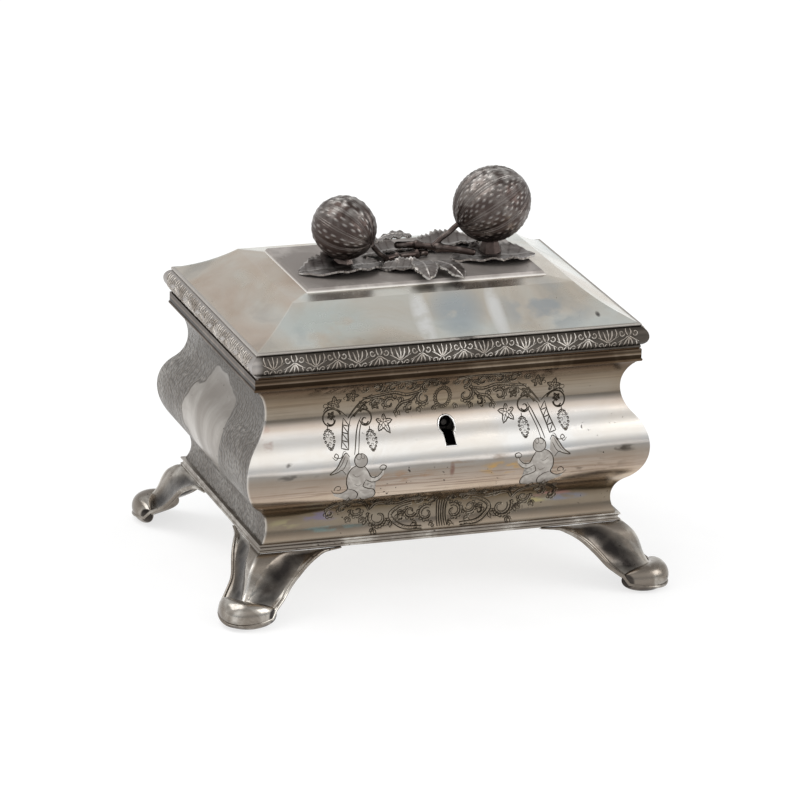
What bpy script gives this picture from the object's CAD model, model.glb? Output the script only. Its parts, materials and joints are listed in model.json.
import json
import math
import random

import bmesh
import bpy
from mathutils import Matrix, Vector, noise
from mathutils.bvhtree import BVHTree


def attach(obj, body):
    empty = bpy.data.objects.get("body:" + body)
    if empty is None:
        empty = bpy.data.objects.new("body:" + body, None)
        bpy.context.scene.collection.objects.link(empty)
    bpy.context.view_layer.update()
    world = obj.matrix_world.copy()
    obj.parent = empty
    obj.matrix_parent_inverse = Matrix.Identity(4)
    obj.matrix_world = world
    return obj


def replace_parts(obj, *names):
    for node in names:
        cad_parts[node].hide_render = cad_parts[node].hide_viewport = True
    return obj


# An antique silver sugar box: a bombe box on cabriole feet with a hinged lid and a finial of melons.
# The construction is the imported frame; this script dresses it in old, worn and tarnished silver.
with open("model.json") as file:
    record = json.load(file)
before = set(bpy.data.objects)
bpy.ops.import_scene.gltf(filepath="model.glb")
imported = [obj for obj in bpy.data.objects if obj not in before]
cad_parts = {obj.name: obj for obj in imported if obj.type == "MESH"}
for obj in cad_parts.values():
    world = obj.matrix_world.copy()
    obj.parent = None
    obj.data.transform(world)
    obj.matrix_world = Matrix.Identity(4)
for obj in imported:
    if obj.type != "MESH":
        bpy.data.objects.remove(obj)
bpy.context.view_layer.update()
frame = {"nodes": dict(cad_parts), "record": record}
MM = 0.001
BASE = 22.5 * MM
HALF_LENGTH, HALF_WIDTH = 70 * MM, 51 * MM

# The camera stands in front of the box, a little to its left and above it, and looks down on it
# through a long lens. The picture was held about a degree and a half off level.
CAMERA_TURN, CAMERA_CLIMB, CAMERA_ROLL = (math.radians(angle) for angle in (-19.3, 18.86, 1.62))
CAMERA_DISTANCE = 1857.8 * MM
PICTURE_WIDTH, FOCAL_PIXELS, SENSOR = 800, 5212.5, 36
AIM_RIGHT, AIM_UP = -0.14 * MM, 32.76 * MM
back = Vector((
    math.sin(CAMERA_TURN) * math.cos(CAMERA_CLIMB),
    -math.cos(CAMERA_TURN) * math.cos(CAMERA_CLIMB),
    math.sin(CAMERA_CLIMB),
))
level_right = (-back).cross(Vector((0, 0, 1))).normalized()
level_up = level_right.cross(-back)
right = math.cos(CAMERA_ROLL) * level_right + math.sin(CAMERA_ROLL) * level_up
up = -math.sin(CAMERA_ROLL) * level_right + math.cos(CAMERA_ROLL) * level_up
lens = bpy.data.cameras.new("camera")
lens.sensor_width = SENSOR
lens.lens = FOCAL_PIXELS / PICTURE_WIDTH * SENSOR
lens.clip_start, lens.clip_end = 0.05, 20
camera = bpy.data.objects.new("camera", lens)
bpy.context.scene.collection.objects.link(camera)
stand = Vector((0, 0, BASE)) + level_right * AIM_RIGHT + level_up * AIM_UP + back * CAMERA_DISTANCE
camera.matrix_world = Matrix.Translation(stand) @ Matrix((right, up, back)).transposed().to_4x4()
bpy.context.scene.camera = camera
bpy.context.scene.view_settings.view_transform = "Standard"


# The studio: a wide pale table, a white room whose brightness falls off towards the horizon in
# front, and two large soft lamps, one overhead to the left and one low at the right.
def add_node(tree, kind, inputs=None, **settings):
    """A node with its settings, and with each named input set or linked."""
    made = tree.nodes.new(kind)
    for name, value in settings.items():
        setattr(made, name, value)
    for name, value in (inputs or {}).items():
        if isinstance(value, bpy.types.NodeSocket):
            tree.links.new(value, made.inputs[name])
        else:
            made.inputs[name].default_value = value
    return made


def ramp(tree, factor, stops, interpolation="LINEAR"):
    """A colour ramp from (position, colour) stops; a plain number stands for a grey."""
    made = add_node(tree, "ShaderNodeValToRGB", {"Fac": factor})
    made.color_ramp.interpolation = interpolation
    points = made.color_ramp.elements
    while len(points) < len(stops):
        points.new(0.5)
    for point, (position, colour) in zip(points, stops):
        point.position = position
        point.color = (colour,) * 3 + (1,) if isinstance(colour, (int, float)) else tuple(colour) + (1,)
    return made.outputs["Color"]


def mix(tree, factor, one, other, blend="MIX"):
    made = add_node(tree, "ShaderNodeMix", data_type="RGBA", blend_type=blend)
    for socket, value in ((made.inputs[0], factor), (made.inputs[6], one), (made.inputs[7], other)):
        if isinstance(value, bpy.types.NodeSocket):
            tree.links.new(value, socket)
        else:
            socket.default_value = value if isinstance(value, (int, float)) else tuple(value) + (1,)
    return made.outputs[2]


def math_node(tree, operation, one, other=0.0, clamp=False):
    made = add_node(tree, "ShaderNodeMath", operation=operation, use_clamp=clamp)
    for socket, value in zip(made.inputs, (one, other)):
        if isinstance(value, bpy.types.NodeSocket):
            tree.links.new(value, socket)
        else:
            socket.default_value = value
    return made.outputs[0]


ROOM_FRONT = [(0.0, (0.50, 0.53, 0.56)), (0.14, (0.62, 0.64, 0.66)), (0.34, 1.0), (0.62, 1.0), (0.86, 0.62), (1.0, 0.56)]
ROOM_BACK = [(0.0, 1.0), (0.22, 0.86), (0.42, 0.70), (0.75, 0.60), (1.0, 0.56)]
room = bpy.data.worlds.new("studio_room")
room.use_nodes = True
tree = room.node_tree
tree.nodes.clear()
way = add_node(tree, "ShaderNodeTexCoord").outputs["Generated"]
part = add_node(tree, "ShaderNodeSeparateXYZ", {"Vector": way})
behind = add_node(tree, "ShaderNodeMapRange", {"Value": part.outputs["Y"], "From Min": -0.3, "From Max": 0.3})
shade = mix(tree, behind.outputs[0], ramp(tree, part.outputs["Z"], ROOM_FRONT), ramp(tree, part.outputs["Z"], ROOM_BACK))
seen = add_node(tree, "ShaderNodeLightPath").outputs["Is Camera Ray"]
shade = mix(tree, seen, shade, (1, 1, 1))
glow = add_node(tree, "ShaderNodeBackground", {"Color": shade, "Strength": 1.0})
add_node(tree, "ShaderNodeOutputWorld", {"Surface": glow.outputs[0]})
bpy.context.scene.world = room

TABLE_HALF = 2.2
bm = bmesh.new()
bmesh.ops.create_grid(bm, x_segments=1, y_segments=1, size=TABLE_HALF)
table_mesh = bpy.data.meshes.new("table")
bm.to_mesh(table_mesh)
bm.free()
table = bpy.data.objects.new("table", table_mesh)
bpy.context.scene.collection.objects.link(table)
cloth = bpy.data.materials.new("white_table")
cloth.use_nodes = True
tree = cloth.node_tree
tree.nodes.clear()
where = add_node(tree, "ShaderNodeTexCoord").outputs["Object"]
grain = add_node(tree, "ShaderNodeTexNoise", {"Vector": where, "Scale": 40.0, "Detail": 2.0}).outputs["Fac"]
paper = ramp(tree, grain, [(0.3, 0.33), (0.7, 0.35)])
lit = add_node(tree, "ShaderNodeBsdfPrincipled", {"Base Color": paper, "Roughness": 0.9, "Specular IOR Level": 0.2})
path = add_node(tree, "ShaderNodeLightPath")
shown = math_node(tree, "MAXIMUM", path.outputs["Is Camera Ray"], path.outputs["Is Glossy Ray"])
shown = math_node(tree, "MAXIMUM", shown, path.outputs["Is Transmission Ray"])
TABLE_LIFT = 0.70
tree.links.new(math_node(tree, "MULTIPLY", shown, TABLE_LIFT), lit.inputs["Emission Strength"])
tree.links.new(ramp(tree, grain, [(0.0, 0.99), (1.0, 1.0)]), lit.inputs["Emission Color"])
add_node(tree, "ShaderNodeOutputMaterial", {"Surface": lit.outputs[0]})
table_mesh.materials.append(cloth)

LAMPS = [
    ("overhead_lamp", (-0.55, 0.25, 1.25), 1.1, 7.5),
    ("side_lamp", (1.2, -0.9, 0.9), 0.9, 7.0),
]
for name, place, width, watts in LAMPS:
    lamp = bpy.data.lights.new(name, "AREA")
    lamp.shape, lamp.size, lamp.energy = "SQUARE", width, watts
    holder = bpy.data.objects.new(name, lamp)
    bpy.context.scene.collection.objects.link(holder)
    aim = (Vector((0, 0, 0.06)) - Vector(place)).normalized()
    holder.matrix_world = Matrix.Translation(place) @ aim.to_track_quat("-Z", "Y").to_matrix().to_4x4()


# Old silver: bright metal with broad warm clouds of tarnish, small black spots of deeper tarnish,
# and fine scratches. The group gives its colour, its roughness and its height.
def group_socket(tree, name, kind, way, value=None):
    made = tree.interface.new_socket(name=name, in_out=way, socket_type=kind)
    if value is not None:
        made.default_value = value


old_silver = bpy.data.node_groups.new("old_silver", "ShaderNodeTree")
for name, kind, value in (
    ("Bright", "NodeSocketColor", (0.8, 0.78, 0.74, 1)),
    ("Tarnish", "NodeSocketColor", (0.35, 0.28, 0.2, 1)),
    ("Cloud Scale", "NodeSocketFloat", 30.0),
    ("Cloud Share", "NodeSocketFloat", 0.5),
    ("Spot Share", "NodeSocketFloat", 0.5),
    ("Polish", "NodeSocketFloat", 0.16),
):
    group_socket(old_silver, name, kind, "INPUT", value)
for name, kind in (("Color", "NodeSocketColor"), ("Roughness", "NodeSocketFloat"), ("Height", "NodeSocketFloat")):
    group_socket(old_silver, name, kind, "OUTPUT")
given = add_node(old_silver, "NodeGroupInput").outputs
where = add_node(old_silver, "ShaderNodeTexCoord").outputs["Object"]
clouds = add_node(
    old_silver, "ShaderNodeTexNoise",
    {"Vector": where, "Scale": given["Cloud Scale"], "Detail": 5.0, "Roughness": 0.62, "Distortion": 0.6},
).outputs["Fac"]
low = math_node(old_silver, "SUBTRACT", 0.92, math_node(old_silver, "MULTIPLY", given["Cloud Share"], 0.6))
cloudy = add_node(old_silver, "ShaderNodeMapRange", {"Value": clouds, "From Min": math_node(old_silver, "SUBTRACT", low, 0.28), "From Max": low}, interpolation_type="SMOOTHSTEP").outputs[0]
colour = mix(old_silver, cloudy, given["Bright"], given["Tarnish"])
dust = add_node(old_silver, "ShaderNodeTexNoise", {"Vector": where, "Scale": 700.0, "Detail": 3.0}).outputs["Fac"]
patch = add_node(old_silver, "ShaderNodeTexNoise", {"Vector": where, "Scale": 70.0, "Detail": 3.0}).outputs["Fac"]
spot = math_node(old_silver, "ADD", dust, math_node(old_silver, "MULTIPLY", patch, 0.5))
limit = math_node(old_silver, "SUBTRACT", 1.05, math_node(old_silver, "MULTIPLY", given["Spot Share"], 0.12))
spots = add_node(old_silver, "ShaderNodeMapRange", {"Value": spot, "From Min": limit, "From Max": math_node(old_silver, "ADD", limit, 0.05)}).outputs[0]
colour = mix(old_silver, math_node(old_silver, "MULTIPLY", spots, 0.85), colour, (0.05, 0.04, 0.035))
across = add_node(old_silver, "ShaderNodeMapping", {"Vector": where, "Scale": (60, 60, 1400)}).outputs[0]
lines = add_node(old_silver, "ShaderNodeTexNoise", {"Vector": across, "Scale": 1.0, "Detail": 3.0}).outputs["Fac"]
rough = math_node(old_silver, "ADD", given["Polish"], math_node(old_silver, "MULTIPLY", cloudy, 0.12))
rough = math_node(old_silver, "ADD", rough, math_node(old_silver, "MULTIPLY", spots, 0.3))
rough = math_node(old_silver, "ADD", rough, math_node(old_silver, "MULTIPLY", math_node(old_silver, "SUBTRACT", lines, 0.5), 0.08))
wave = add_node(old_silver, "ShaderNodeTexNoise", {"Vector": where, "Scale": 55.0, "Detail": 1.0}).outputs["Fac"]
height = math_node(old_silver, "ADD", math_node(old_silver, "MULTIPLY", lines, 0.03), wave)
height = math_node(old_silver, "SUBTRACT", height, math_node(old_silver, "MULTIPLY", spots, 0.05))
out = add_node(old_silver, "NodeGroupOutput")
for name, value in (("Color", colour), ("Roughness", rough), ("Height", height)):
    old_silver.links.new(value, out.inputs[name])


def silver(name, bright, tarnish, cloud_scale=30.0, cloud_share=0.5, spot_share=0.5, polish=0.16, wave=0.1, tint=None, relief=None):
    """A silver material. Tint and relief are functions that add to its colour and its height."""
    made = bpy.data.materials.new(name)
    made.use_nodes = True
    tree = made.node_tree
    tree.nodes.clear()
    skin = add_node(tree, "ShaderNodeGroup", node_tree=old_silver)
    for socket, value in (("Bright", tuple(bright) + (1,)), ("Tarnish", tuple(tarnish) + (1,)), ("Cloud Scale", cloud_scale), ("Cloud Share", cloud_share), ("Spot Share", spot_share), ("Polish", polish)):
        skin.inputs[socket].default_value = value
    colour, height = skin.outputs["Color"], math_node(tree, "MULTIPLY", skin.outputs["Height"], wave)
    if tint:
        colour = tint(tree, colour)
    if relief:
        colour, height = relief(tree, colour, height)
    bump = add_node(tree, "ShaderNodeBump", {"Height": height, "Strength": 1.0, "Distance": MM})
    metal = add_node(tree, "ShaderNodeBsdfPrincipled", {
        "Base Color": colour, "Metallic": 1.0, "Roughness": skin.outputs["Roughness"], "Normal": bump.outputs[0],
    })
    add_node(tree, "ShaderNodeOutputMaterial", {"Surface": metal.outputs[0]})
    return made


# The four walls: raised from sheet silver over the same bombe section, mitred and soldered at the
# corners. The front is polished and engraved, and hammering has left it very slightly uneven.
WALL_SHEET = 1.0 * MM
FOOT_INSET, LOW_NECK, BELLY_BULGE, BELLY_HEIGHT, BELLY_RADIUS = 4.9, (6.4, 8.44), 3.75, 29.01, 16.2
HIGH_NECK, RIM_INSET, WALL_HEIGHT = (5.0, 49.97), 0.3, 64.9


def arc_points(centre, radius, start, end, steps):
    """Points along an arc, from one height to another, on the side that its radius's sign names."""
    made = []
    for number in range(steps + 1):
        height = start + (end - start) * number / steps
        made.append((centre[0] + math.copysign(1, radius) * math.sqrt(radius ** 2 - (height - centre[1]) ** 2), height))
    return made


def neck_arc(inset, height):
    step, rise = inset + BELLY_BULGE, height - BELLY_HEIGHT
    radius = (rise * rise + step * step) / (2 * step) - BELLY_RADIUS
    return (inset - radius, height), radius


def wall_profile(steps=26):
    """The outer face as (inset, height) points from the foot to the rim, in millimetres."""
    belly = (BELLY_RADIUS - BELLY_BULGE, BELLY_HEIGHT)
    (low, low_radius), (high, high_radius) = neck_arc(*LOW_NECK), neck_arc(*HIGH_NECK)
    joints = []
    for centre, radius in ((low, low_radius), (high, high_radius)):
        share = BELLY_RADIUS / (BELLY_RADIUS + radius)
        joints.append(belly[1] + (centre[1] - belly[1]) * share)
    foot = low[1] - math.sqrt(low_radius ** 2 - (FOOT_INSET - low[0]) ** 2)
    head = high[1] + math.sqrt(high_radius ** 2 - (RIM_INSET - high[0]) ** 2)
    made = [(FOOT_INSET, 0), (FOOT_INSET, foot / 2)]
    made += arc_points(low, low_radius, foot, joints[0], steps)
    made += arc_points(belly, -BELLY_RADIUS, joints[0], joints[1], 2 * steps)[1:]
    made += arc_points(high, high_radius, joints[1], head, steps)[1:]
    made += [(RIM_INSET, (head + WALL_HEIGHT) / 2), (RIM_INSET, WALL_HEIGHT)]
    return made


def soften(bm, angle):
    """Smooth shading with a crease wherever two faces meet at more than an angle in degrees."""
    for face in bm.faces:
        face.smooth = True
    for edge in bm.edges:
        edge.smooth = len(edge.link_faces) == 2 and edge.calc_face_angle(0) < math.radians(angle)


def to_object(bm, name, material, body):
    """The finished mesh as a piece that rides on a body."""
    mesh = bpy.data.meshes.new(name)
    bm.to_mesh(mesh)
    bm.free()
    mesh.materials.append(material)
    made = bpy.data.objects.new(name, mesh)
    bpy.context.scene.collection.objects.link(made)
    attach(made, body)
    return made


def sheet_bar(outline, start, end, steps):
    """A closed outline of (across, height) points, carried along X in steps."""
    bm = bmesh.new()
    loop = [bm.verts.new((start, across, height)) for across, height in outline]
    bm.faces.new(loop)
    edges = list(bm.edges)
    for number in range(steps):
        made = bmesh.ops.extrude_edge_only(bm, edges=edges)["geom"]
        moved = [item for item in made if isinstance(item, bmesh.types.BMVert)]
        edges = [item for item in made if isinstance(item, bmesh.types.BMEdge) and all(v in moved for v in item.verts)]
        bmesh.ops.translate(bm, verts=moved, vec=((end - start) / steps, 0, 0))
    bmesh.ops.contextual_create(bm, geom=edges)
    bmesh.ops.recalc_face_normals(bm, faces=bm.faces)
    return bm


def cut_end(bm, corner, normal):
    """Cut off what lies beyond a plane and close the cut."""
    geometry = list(bm.verts) + list(bm.edges) + list(bm.faces)
    bmesh.ops.bisect_plane(bm, geom=geometry, plane_co=corner, plane_no=normal, clear_outer=True, dist=1e-7)
    rim = [edge for edge in bm.edges if len(edge.link_faces) == 1]
    bmesh.ops.contextual_create(bm, geom=rim)
    bmesh.ops.recalc_face_normals(bm, faces=bm.faces)


def inward(profile, depth):
    """A profile moved square to itself, towards the inside of the box."""
    moved = []
    for number, point in enumerate(profile):
        before, after = Vector(profile[max(number - 1, 0)]), Vector(profile[min(number + 1, len(profile) - 1)])
        along = (after - before).normalized()
        moved.append((point[0] + along.y * depth, point[1] - along.x * depth))
    return moved


def wall_bar(half, reach, steps):
    """One wall, facing -Y, mitred at both ends."""
    outer = wall_profile()
    inner = inward(outer, WALL_SHEET / MM)
    inner[0], inner[-1] = (inner[0][0], 0), (inner[-1][0], WALL_HEIGHT)
    outline = [(inset * MM - half, BASE + height * MM) for inset, height in outer + inner[::-1]]
    far = reach + 2 * BELLY_BULGE * MM
    bm = sheet_bar(outline, -far, far, steps)
    for side in (-1, 1):
        cut_end(bm, (side * reach, -half, 0), (side, 1, 0))
    return bm


def dent(bm, strength, reach, seed):
    """Very slight hammer waves, which fade out towards the mitred ends."""
    for vert in bm.verts:
        fade = min(1.0, max(0.0, (reach - abs(vert.co.x)) / (14 * MM)))
        push = noise.noise(Vector((vert.co.x * 28, seed, vert.co.z * 60))) + 0.5 * noise.noise(Vector((vert.co.x * 70, seed + 4, vert.co.z * 120)))
        vert.co.y += push * strength * fade


def height_tones(tree, colour, tones, drift=5.0):
    """Tarnish in level bands, from (height in millimetres, tone) stops, at levels that drift a little."""
    where = add_node(tree, "ShaderNodeTexCoord").outputs["Object"]
    stretched = add_node(tree, "ShaderNodeMapping", {"Vector": where, "Scale": (14, 14, 90)}).outputs[0]
    wander = add_node(tree, "ShaderNodeTexNoise", {"Vector": stretched, "Scale": 1.0, "Detail": 4.0}).outputs["Fac"]
    level = math_node(tree, "ADD", add_node(tree, "ShaderNodeSeparateXYZ", {"Vector": where}).outputs["Z"],
                      math_node(tree, "MULTIPLY", math_node(tree, "SUBTRACT", wander, 0.5), drift * MM))
    span = {"Value": level, "From Min": BASE, "From Max": BASE + WALL_HEIGHT * MM}
    share = add_node(tree, "ShaderNodeMapRange", span).outputs[0]
    return mix(tree, 1.0, colour, ramp(tree, share, [(height / WALL_HEIGHT, tone) for height, tone in tones]), "MULTIPLY")


def stain(tree, colour, place, reach, tone, amount, grain=(130, 130, 340), cover=0.5):
    """A ragged stain round (x, height), as wide and tall as its reach in millimetres."""
    where = add_node(tree, "ShaderNodeTexCoord").outputs["Object"]
    part = add_node(tree, "ShaderNodeSeparateXYZ", {"Vector": where})
    distance = 0.0
    for axis, middle, half in (("X", place[0] * MM, reach[0]), ("Z", BASE + place[1] * MM, reach[1])):
        offset = math_node(tree, "DIVIDE", math_node(tree, "SUBTRACT", part.outputs[axis], middle), half * MM)
        distance = math_node(tree, "ADD", distance, math_node(tree, "MULTIPLY", offset, offset))
    near = add_node(tree, "ShaderNodeMapRange", {"Value": distance, "From Min": 1.0, "From Max": 0.1}).outputs[0]
    stretched = add_node(tree, "ShaderNodeMapping", {"Vector": where, "Scale": grain}).outputs[0]
    speck = add_node(tree, "ShaderNodeTexNoise", {"Vector": stretched, "Scale": 1.0, "Detail": 5.0}).outputs["Fac"]
    low = 0.66 - 0.32 * cover
    ragged = add_node(tree, "ShaderNodeMapRange", {"Value": speck, "From Min": low, "From Max": low + 0.1}).outputs[0]
    share = math_node(tree, "MULTIPLY", math_node(tree, "MULTIPLY", near, ragged), amount)
    return mix(tree, share, colour, tone)


FRONT_TONES = [
    (0, (0.302, 0.244, 0.176)), (3, (0.38, 0.322, 0.264)), (5, (0.221, 0.186, 0.154)), (9, (0.242, 0.209, 0.167)),
    (11, (0.19, 0.158, 0.122)), (13, (0.143, 0.109, 0.069)), (15, (0.442, 0.355, 0.261)), (18, (0.729, 0.608, 0.499)),
    (23, (0.447, 0.377, 0.323)), (28, (0.296, 0.261, 0.231)), (30.4, (0.298, 0.29, 0.282)), (31.6, (0.78, 0.753, 0.744)),
    (35, (0.94, 0.94, 0.94)), (42.5, (1, 0.98, 0.97)), (45, (0.682, 0.605, 0.55)), (47.6, (0.242, 0.206, 0.17)),
    (50, (0.278, 0.24, 0.197)), (53.5, (0.235, 0.188, 0.141)), (56.5, (0.145, 0.111, 0.081)), (60.5, (0.139, 0.09, 0.056)),
]
FRONT_STAINS = [
    # middle, reach, tone, amount, cover
    ((-44, 10.8), (9, 2.6), (0.17, 0.15, 0.25), 0.6, 0.6), ((-40, 6.0), (14, 1.2), (0.20, 0.31, 0.30), 0.6, 0.6),
    ((-57, 9.0), (7, 2.2), (0.33, 0.30, 0.17), 0.5, 0.7), ((41, 12.0), (9, 1.6), (0.36, 0.17, 0.17), 0.55, 0.6),
    ((34, 9.6), (9, 1.1), (0.46, 0.41, 0.18), 0.5, 0.6), ((46, 9.9), (10, 1.6), (0.17, 0.20, 0.29), 0.5, 0.6),
    ((19, 26.4), (9, 2.8), (0.42, 0.26, 0.09), 0.95, 0.7), ((0.6, 27.4), (1.1, 3.2), (0.17, 0.09, 0.07), 0.8, 0.75),
    ((-65, 42), (2.4, 5), (0.48, 0.30, 0.25), 0.5, 0.45), ((62, 29.8), (9, 1.7), (0.06, 0.05, 0.04), 0.9, 0.55),
    ((-57, 29.4), (10, 1.2), (0.10, 0.09, 0.08), 0.85, 0.55), ((-15, 26.5), (12, 2.8), (0.30, 0.19, 0.12), 0.85, 0.55), ((8, 30.6), (16, 1.5), (0.22, 0.15, 0.10), 0.8, 0.45), ((48, 24), (20, 4), (0.16, 0.12, 0.09), 0.75, 0.45),
    ((3, 49.0), (22, 2.6), (0.36, 0.29, 0.19), 0.4, 0.8), ((12, 30.8), (3.4, 0.9), (0.07, 0.06, 0.05), 0.85, 0.6),
    ((-58, 33.6), (1.8, 1.2), (0.10, 0.09, 0.08), 0.9, 0.5),
]


def worn_corner(tree, colour):
    """The metal is worn bright along the mitres."""
    part = add_node(tree, "ShaderNodeSeparateXYZ", {"Vector": add_node(tree, "ShaderNodeTexCoord").outputs["Object"]})
    aside = math_node(tree, "ADD", HALF_LENGTH, part.outputs["X"])
    ahead = math_node(tree, "SUBTRACT", HALF_WIDTH, math_node(tree, "ABSOLUTE", part.outputs["Y"]))
    off = math_node(tree, "ABSOLUTE", math_node(tree, "SUBTRACT", aside, ahead))
    worn = add_node(tree, "ShaderNodeMapRange", {"Value": off, "From Min": 0.9 * MM, "From Max": 0.2 * MM}).outputs[0]
    return mix(tree, math_node(tree, "MULTIPLY", worn, 0.45), colour, (0.80, 0.77, 0.73))


def front_tarnish(tree, colour):
    """The front: brown under the rim, clear over the belly, scratched below it, olive in the lower neck."""
    colour = height_tones(tree, colour, FRONT_TONES)
    for place, reach, tone, amount, cover in FRONT_STAINS:
        colour = stain(tree, colour, place, reach, tone, amount, cover=cover)
    colour = stain(tree, colour, (0, 24), (110, 6), (0.20, 0.13, 0.09), 0.55, (34, 34, 1500), 0.5)
    return worn_corner(tree, stain(tree, colour, (0, 54), (120, 9), (0.10, 0.07, 0.045), 0.4, (20, 20, 900), 0.5))


front_silver = silver("engraved_front_silver", (0.97, 0.96, 0.93), (0.88, 0.83, 0.76), 26, 0.4, 0.55, 0.12, 0.12, tint=front_tarnish)


def chasing(tree, colour, height):
    """Chased ground of small scales round a blank reserve in the middle of the wall."""
    where = add_node(tree, "ShaderNodeTexCoord").outputs["Object"]
    cell = add_node(tree, "ShaderNodeTexVoronoi", {"Vector": where, "Scale": 620.0, "Randomness": 0.75}, feature="F1")
    scale = ramp(tree, cell.outputs["Distance"], [(0.0, 1.0), (0.55, 0.35), (0.8, 0.0)])
    flow = add_node(tree, "ShaderNodeTexNoise", {"Vector": where, "Scale": 160.0, "Detail": 4.0, "Distortion": 2.2}).outputs["Fac"]
    cut = math_node(tree, "MULTIPLY", scale, flow)
    part = add_node(tree, "ShaderNodeSeparateXYZ", {"Vector": where})
    away = math_node(tree, "SUBTRACT", part.outputs["Z"], BASE + 33 * MM)
    aside = part.outputs["Y"]
    oval = math_node(tree, "ADD", math_node(tree, "POWER", math_node(tree, "DIVIDE", away, 17 * MM), 2.0),
                     math_node(tree, "POWER", math_node(tree, "ABSOLUTE", math_node(tree, "DIVIDE", aside, 23 * MM)), 2.0))
    edge = add_node(tree, "ShaderNodeTexNoise", {"Vector": where, "Scale": 90.0, "Detail": 2.0}).outputs["Fac"]
    oval = math_node(tree, "ADD", oval, math_node(tree, "MULTIPLY", math_node(tree, "SUBTRACT", edge, 0.5), 0.9))
    ground = add_node(tree, "ShaderNodeMapRange", {"Value": oval, "From Min": 0.95, "From Max": 1.1}).outputs[0]
    colour = mix(tree, math_node(tree, "MULTIPLY", ground, math_node(tree, "SUBTRACT", 0.85, cut)), colour, (0.10, 0.09, 0.08))
    line = add_node(tree, "ShaderNodeMapRange", {"Value": math_node(tree, "ABSOLUTE", math_node(tree, "SUBTRACT", oval, 0.97)), "From Min": 0.07, "From Max": 0.02}).outputs[0]
    colour = mix(tree, math_node(tree, "MULTIPLY", line, 0.75), colour, (0.08, 0.07, 0.06))
    height = math_node(tree, "ADD", height, math_node(tree, "MULTIPLY", math_node(tree, "MULTIPLY", cut, ground), 0.9))
    return colour, height


SIDE_TONES = [(0, 0.62), (8, 0.72), (18, 0.84), (34, 0.72), (44, 0.60), (52, 0.42), (60, 0.34), (64.9, 0.26)]


def side_tarnish(tree, colour):
    return worn_corner(tree, height_tones(tree, colour, SIDE_TONES, 9.0))



side_silver = silver("chased_side_silver", (0.74, 0.70, 0.65), (0.42, 0.38, 0.34), 24, 0.5, 0.5, 0.28, 0.08, side_tarnish, chasing)
DENT = 0.07 * MM
bm = wall_bar(HALF_WIDTH, HALF_LENGTH, 96)
dent(bm, DENT, HALF_LENGTH, 1.7)
soften(bm, 35)
front_wall = to_object(bm, "engraved_front_wall", front_silver, "box")
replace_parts(front_wall, "front_panel")
for name, node, half, reach, turn, seed in (
    ("back_wall", "back_panel", HALF_WIDTH, HALF_LENGTH, 180, 3.1),
    ("left_wall", "left_panel", HALF_LENGTH, HALF_WIDTH, -90, 5.3),
    ("right_wall", "right_panel", HALF_LENGTH, HALF_WIDTH, 90, 8.9),
):
    bm = wall_bar(half, reach, 72)
    dent(bm, DENT, reach, seed)
    bmesh.ops.rotate(bm, verts=bm.verts, cent=(0, 0, 0), matrix=Matrix.Rotation(math.radians(turn), 3, "Z"))
    soften(bm, 35)
    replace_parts(to_object(bm, name, side_silver, "box"), node)

# The keyhole is pierced through the front wall, with its edge worn bright.
KEY_LEVEL = BASE + 41.85 * MM
KEY_RADIUS, KEY_SLOT, KEY_DROP, KEY_LEAN = 2.8 * MM, 3.7 * MM, 6.0 * MM, 0.5 * MM


def keyhole_outline(grow=0.0, steps=28):
    """Points round the keyhole, in the front's (across, height) plane."""
    radius, half = KEY_RADIUS + grow, KEY_SLOT / 2 + grow
    start = math.asin(half / radius)
    made = [(KEY_LEAN - half, KEY_LEVEL - KEY_DROP - grow), (KEY_LEAN + half, KEY_LEVEL - KEY_DROP - grow)]
    for number in range(steps + 1):
        angle = -math.pi / 2 + start + (2 * math.pi - 2 * start) * number / steps
        made.append((radius * math.cos(angle), KEY_LEVEL + radius * math.sin(angle)))
    return made


bm = bmesh.new()
loop = [bm.verts.new((x, -HALF_WIDTH - 5 * MM, z)) for x, z in keyhole_outline()]
face = bm.faces.new(loop)
moved = [item for item in bmesh.ops.extrude_face_region(bm, geom=[face])["geom"] if isinstance(item, bmesh.types.BMVert)]
bmesh.ops.translate(bm, verts=moved, vec=(0, 12 * MM, 0))
bmesh.ops.recalc_face_normals(bm, faces=bm.faces)
piercing_mesh = bpy.data.meshes.new("piercing")
bm.to_mesh(piercing_mesh)
bm.free()
piercing = bpy.data.objects.new("piercing", piercing_mesh)
bpy.context.scene.collection.objects.link(piercing)
cut = front_wall.modifiers.new("keyhole", "BOOLEAN")
cut.object, cut.solver = piercing, "EXACT"
bpy.context.view_layer.update()
pierced = bpy.data.meshes.new_from_object(front_wall.evaluated_get(bpy.context.evaluated_depsgraph_get()))
front_wall.modifiers.clear()
bpy.data.objects.remove(piercing)
bm = bmesh.new()
bm.from_mesh(pierced)
soften(bm, 35)
bm.to_mesh(pierced)
bm.free()
pierced.materials.clear()
pierced.materials.append(front_silver)
front_wall.data = pierced

# The engraving on the front: two vines on a trellis, each over a small winged child, joined above by
# a crest of scrolls with an oval medallion and below by a band of leaves round a fluted bar. Every
# cut is a thin dark line laid on the wall's curve.
def skin_of(mesh):
    """The mesh as something that a stroke can be laid on."""
    return BVHTree.FromPolygons([vert.co for vert in mesh.vertices], [face.vertices for face in mesh.polygons])


def lay_on(skin, turn=0):
    """A function that lays (x, depth, z) on one side of the box, seen square on, by its distance outwards."""
    spin = Matrix.Rotation(math.radians(turn), 3, "Z")
    inwards = spin @ Vector((0, 1, 0))

    def carry(x, z, proud):
        spot, normal, *_ = skin.ray_cast(spin @ Vector((x, -0.2, BASE + z)), inwards)
        if spot is None:
            spot, normal, *_ = skin.find_nearest(spin @ Vector((x, -HALF_WIDTH, BASE + z)))
        if normal.dot(inwards) > 0:
            normal = -normal
        return spot + normal * proud
    return carry


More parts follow.
